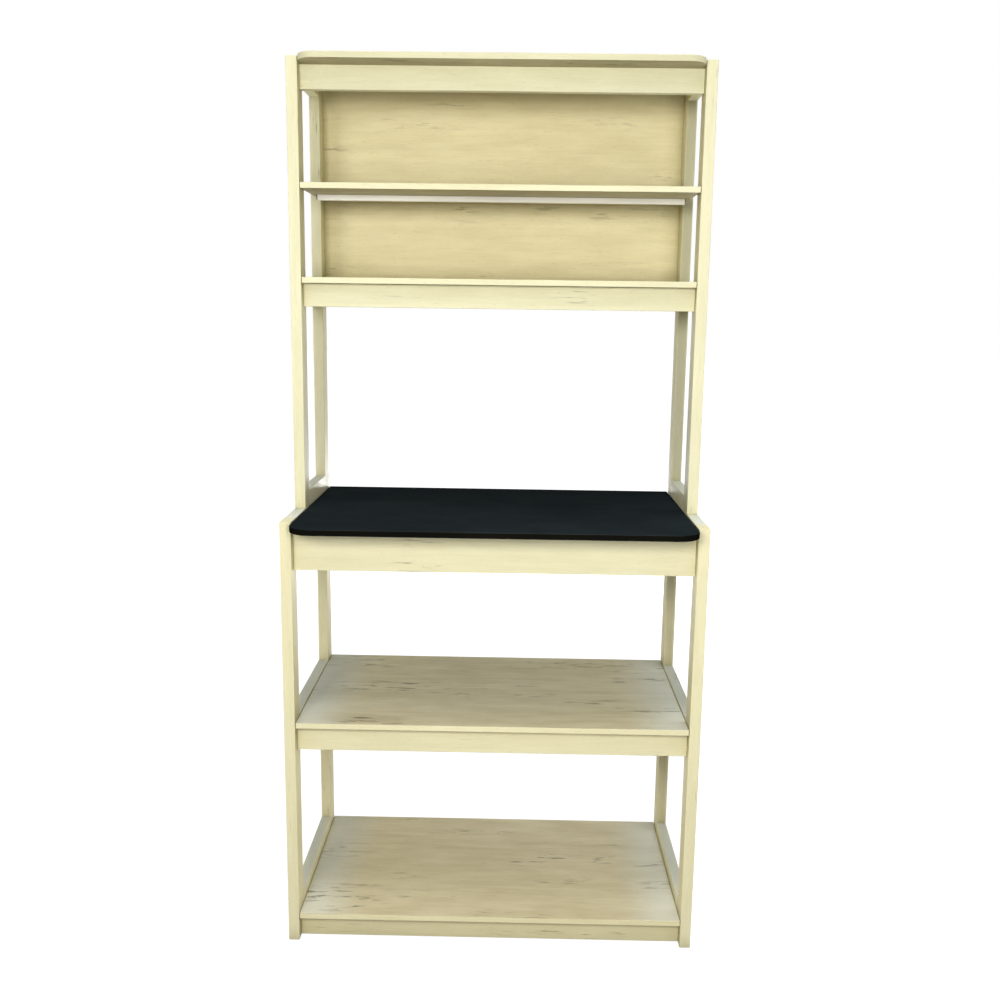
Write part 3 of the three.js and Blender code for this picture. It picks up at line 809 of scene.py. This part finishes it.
def head_radius(node, outward):
    low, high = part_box(node)
    return max(size for size, out in zip(high - low, outward) if out == 0) / 2


def cross_recess(place, outward, radius, depth):
    """Two crossed slots that a driver fits, sunk into a screw's head."""
    turn = Matrix.Translation(place) @ UP.rotation_difference(outward).to_matrix().to_4x4()
    reach = radius * CROSS_REACH_SHARE
    width = radius * CROSS_WIDTH_SHARE
    forms = []
    for x, y in ((reach, width), (width, reach)):
        form = block(Vector((-x, -y, -depth)), Vector((x, y, CUT_OVERRUN)))
        form.transform(turn)
        forms.append(form)
    return forms


def add_screw(node, outward, head, shank, sunk, material):
    """A screw with a cross recess. A sunk head tapers to its shank, any other head is domed."""
    outward = Vector(outward)
    place = outward_end(node, outward)
    radius = head_radius(node, outward)
    length = extent(node, outward)
    if sunk:
        profile = [(radius * SUNK_FACE_SHARE, 0), (radius, -SUNK_RIM)]
    else:
        dome = head * DOME_HEIGHT_SHARE
        shoulder = (radius * DOME_SHOULDER_SHARE, -dome * DOME_SHOULDER_DROP)
        profile = [(radius * DOME_TOP_SHARE, 0), shoulder, (radius, -dome), (radius, -head)]
    tip_start = shank * TIP_LENGTH_SHARE - length
    profile += [(shank, -head), (shank, tip_start), (shank * TIP_RADIUS_SHARE, -length)]
    work = turned(profile, place, outward)
    recess = cross_recess(place, outward, radius, head * CROSS_DEPTH_SHARE)
    finished(f"{node}_turned", work, material, [node], recess)


def nodes_named(stem):
    return sorted(name for name in NODES if name.startswith(stem))


def side_sign(name):
    return -1 if name.endswith("left") else 1


def add_hardware(steel, plastic):
    for name in nodes_named("upper_shelf_screw"):
        add_screw(name, (side_sign(name), 0, 0), POST_SCREW_HEAD, POST_SCREW_SHANK, True, steel)
    for name in nodes_named("back_panel_screw"):
        add_screw(name, (0, 1, 0), PANEL_SCREW_HEAD, SCREW_SHANK, False, steel)
    for name in nodes_named("support_bar_screw"):
        add_screw(name, (0, 0, -1), BAR_SCREW_HEAD, SCREW_SHANK, False, steel)
    for name in nodes_named("foot_glide"):
        place = outward_end(name, -UP)
        radius = head_radius(name, UP)
        profile = [(radius - GLIDE_ROUND, 0), (radius - GLIDE_BREAK, GLIDE_BREAK)]
        profile += [(radius, GLIDE_ROUND), (radius, GLIDE_THICKNESS)]
        finished(f"{name}_turned", turned(profile, place, UP), plastic, [name])
    for name in nodes_named("support_bar_plug"):
        low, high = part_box(name)
        if side_sign(name) < 0:
            high.x = low.x + PLUG_FLANGE
        else:
            low.x = high.x - PLUG_FLANGE
        cap = round_edges(block(low, high), PLUG_ROUND)
        finished(f"{name}_cap", cap, plastic, [name])


# Support bar: a square tube with softly rounded edges, and holes below its screws

BAR_ROUND = 1.4 * MM
BAR_WALL = 1.2 * MM


def add_support_bar(material):
    low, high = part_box("support_bar")
    along = Vector((CUT_OVERRUN, 0, 0))
    wall = Vector((0, BAR_WALL, BAR_WALL))
    cuts = [block(low + wall - along, high - wall + along)]
    for name in nodes_named("support_bar_screw"):
        centre = sum(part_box(name), Vector()) / 2
        bottom = Vector((centre.x, centre.y, low.z - CUT_OVERRUN))
        depth = CUT_OVERRUN + 2 * BAR_WALL
        cuts.append(turned([(ACCESS_HOLE, 0), (ACCESS_HOLE, depth)], bottom, UP))
    tube = block(low, high)
    lengthwise = [e for e in tube.edges if abs((e.verts[1].co - e.verts[0].co).x) > BAR_WALL]
    round_some(tube, lengthwise, BAR_ROUND)
    finished("support_bar_tube", tube, material, ["support_bar"], cuts)


# Wood pieces and worktop

FRAME_ROUND = 1.1 * MM
BOARD_ROUND = 0.9 * MM
PANEL_ROUND = 0.4 * MM
WOOD_ROUNDS = {"frame_wood": FRAME_ROUND, "shelf_board": BOARD_ROUND, "back_board": PANEL_ROUND}
WORKTOP_CORNER = 46 * MM
TOP_CORNER = 36 * MM


def shoulders(name, low, high):
    """Cuts a rail's box back to its shoulders, between the posts that hold its tenons."""
    if "side_rail" in name or "sill_rail" in name:
        frame_part = name.split("_")[0]
        side = name.split("_")[-1]
        low.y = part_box(f"{frame_part}_post_front_{side}")[1].y
        high.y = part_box(f"{frame_part}_post_back_{side}")[0].y
    elif name.endswith(("_rail", "_apron")):
        low.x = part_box("base_post_front_left")[1].x
        high.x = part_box("base_post_front_right")[0].x
    return low, high


def holes_in(name, low):
    """The countersinks and counterbores that show on a piece whose box starts at low."""
    forms = []
    if name.startswith("hutch_post"):
        screw = name.replace("hutch_post", "upper_shelf_screw")
        outward = Vector((side_sign(name), 0, 0))
        place = outward_end(screw, outward) + outward * FIT
        rim = head_radius(screw, outward) + FIT
        neck = POST_SCREW_SHANK + FIT
        depth = POST_SCREW_HEAD + 2 * FIT
        profile = [(rim, CUT_OVERRUN), (rim, -FIT), (neck, -depth), (neck, -2 * depth)]
        forms.append(turned(profile, place, outward))
    if name.startswith("base_top_side_rail"):
        side = name.split("_")[-1]
        for end in ("front", "back"):
            bolt = outward_end(f"hutch_bolt_{end}_{side}", -UP)
            mouth = Vector((bolt.x, bolt.y, low.z - CUT_OVERRUN))
            depth = COUNTERBORE_DEPTH + CUT_OVERRUN
            forms.append(turned([(COUNTERBORE, 0), (COUNTERBORE, depth)], mouth, UP))
    return forms


def wood_of(name):
    if "_post_" in name:
        return POST_WOOD
    return TOP_BOARD if name == "top_panel" else WOODS[SLOTS[name]]


def add_wood():
    wooden = sorted(name for name, slot in SLOTS.items() if slot in WOODS)
    for seed, name in enumerate(wooden):
        low, high = shoulders(name, *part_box(name))
        slot = SLOTS[name]
        size = high - low
        axis = max((X, Y, Z), key=lambda i: size[i])
        material = limed_wood(f"wood_{name}", wood_of(name), axis, seed, low, high)
        work = front_rounded(low, high, TOP_CORNER) if name == "top_panel" else block(low, high)
        round_edges(work, WOOD_ROUNDS[slot])
        finished(f"{name}_wood", work, material, [name], holes_in(name, low))


def add_worktop():
    low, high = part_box("worktop")
    work = round_edges(front_rounded(low, high, WORKTOP_CORNER), BOARD_ROUND)
    finished("worktop_laminated", work, black_laminate(low, high), ["worktop"])


def dress_nodes(material, slot):
    """Gives a material to the CAD nodes of a slot that still show."""
    for name, node in NODES.items():
        if SLOTS.get(name) == slot and not node.hide_render:
            node.data.materials.clear()
            node.data.materials.append(material)


add_camera()
add_world()
add_floor()
add_lamps()
add_wood()
add_worktop()
add_support_bar(bar_paint())
steel = zinc()
add_hardware(steel, black_plastic())
dress_nodes(steel, "zinc_steel")
bpy.context.scene.view_settings.view_transform = "Standard"
